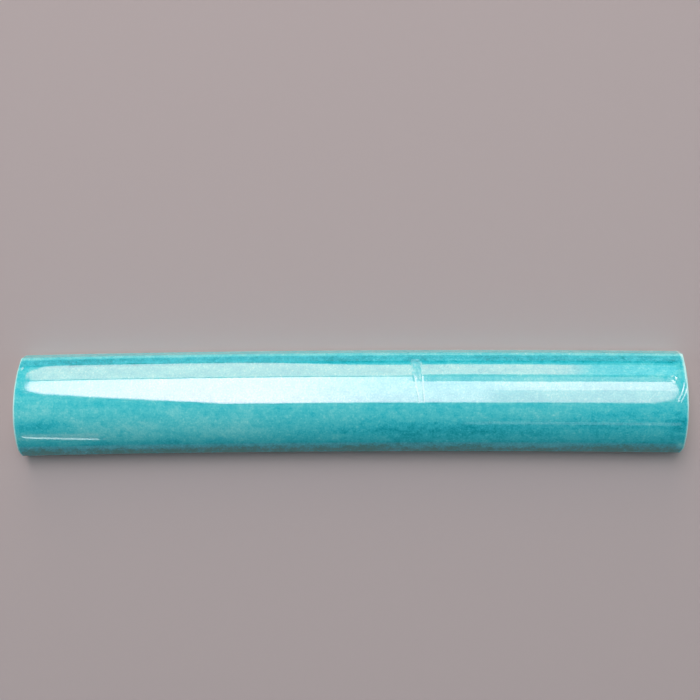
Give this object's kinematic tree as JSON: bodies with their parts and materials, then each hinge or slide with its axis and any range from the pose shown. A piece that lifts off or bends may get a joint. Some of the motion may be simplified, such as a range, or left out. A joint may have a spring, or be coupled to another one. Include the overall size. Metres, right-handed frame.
{
  "type": "half-round trim tile",
  "caption": "Glazed half-round ceramic trim tile: a straight, low-arched border piece with plain cut ends and a flat bedding back.",
  "frame": {"origin": "middle of the bounding box's underside, on the plane of the flat back", "axes": "+X along the tile, +Y across it towards the outside of its slight bow, +Z out of the back through the crown"},
  "size_m": [0.1524, 0.0244, 0.011],
  "materials": {
    "biscuit": "unglazed fired clay, pale buff, fine grain",
    "glaze": "glossy translucent turquoise glaze, gently uneven"
  },
  "bodies": {
    "root": {"biscuit_body": "biscuit", "glaze_coat": "glaze"}
  },
  "joints": []
}
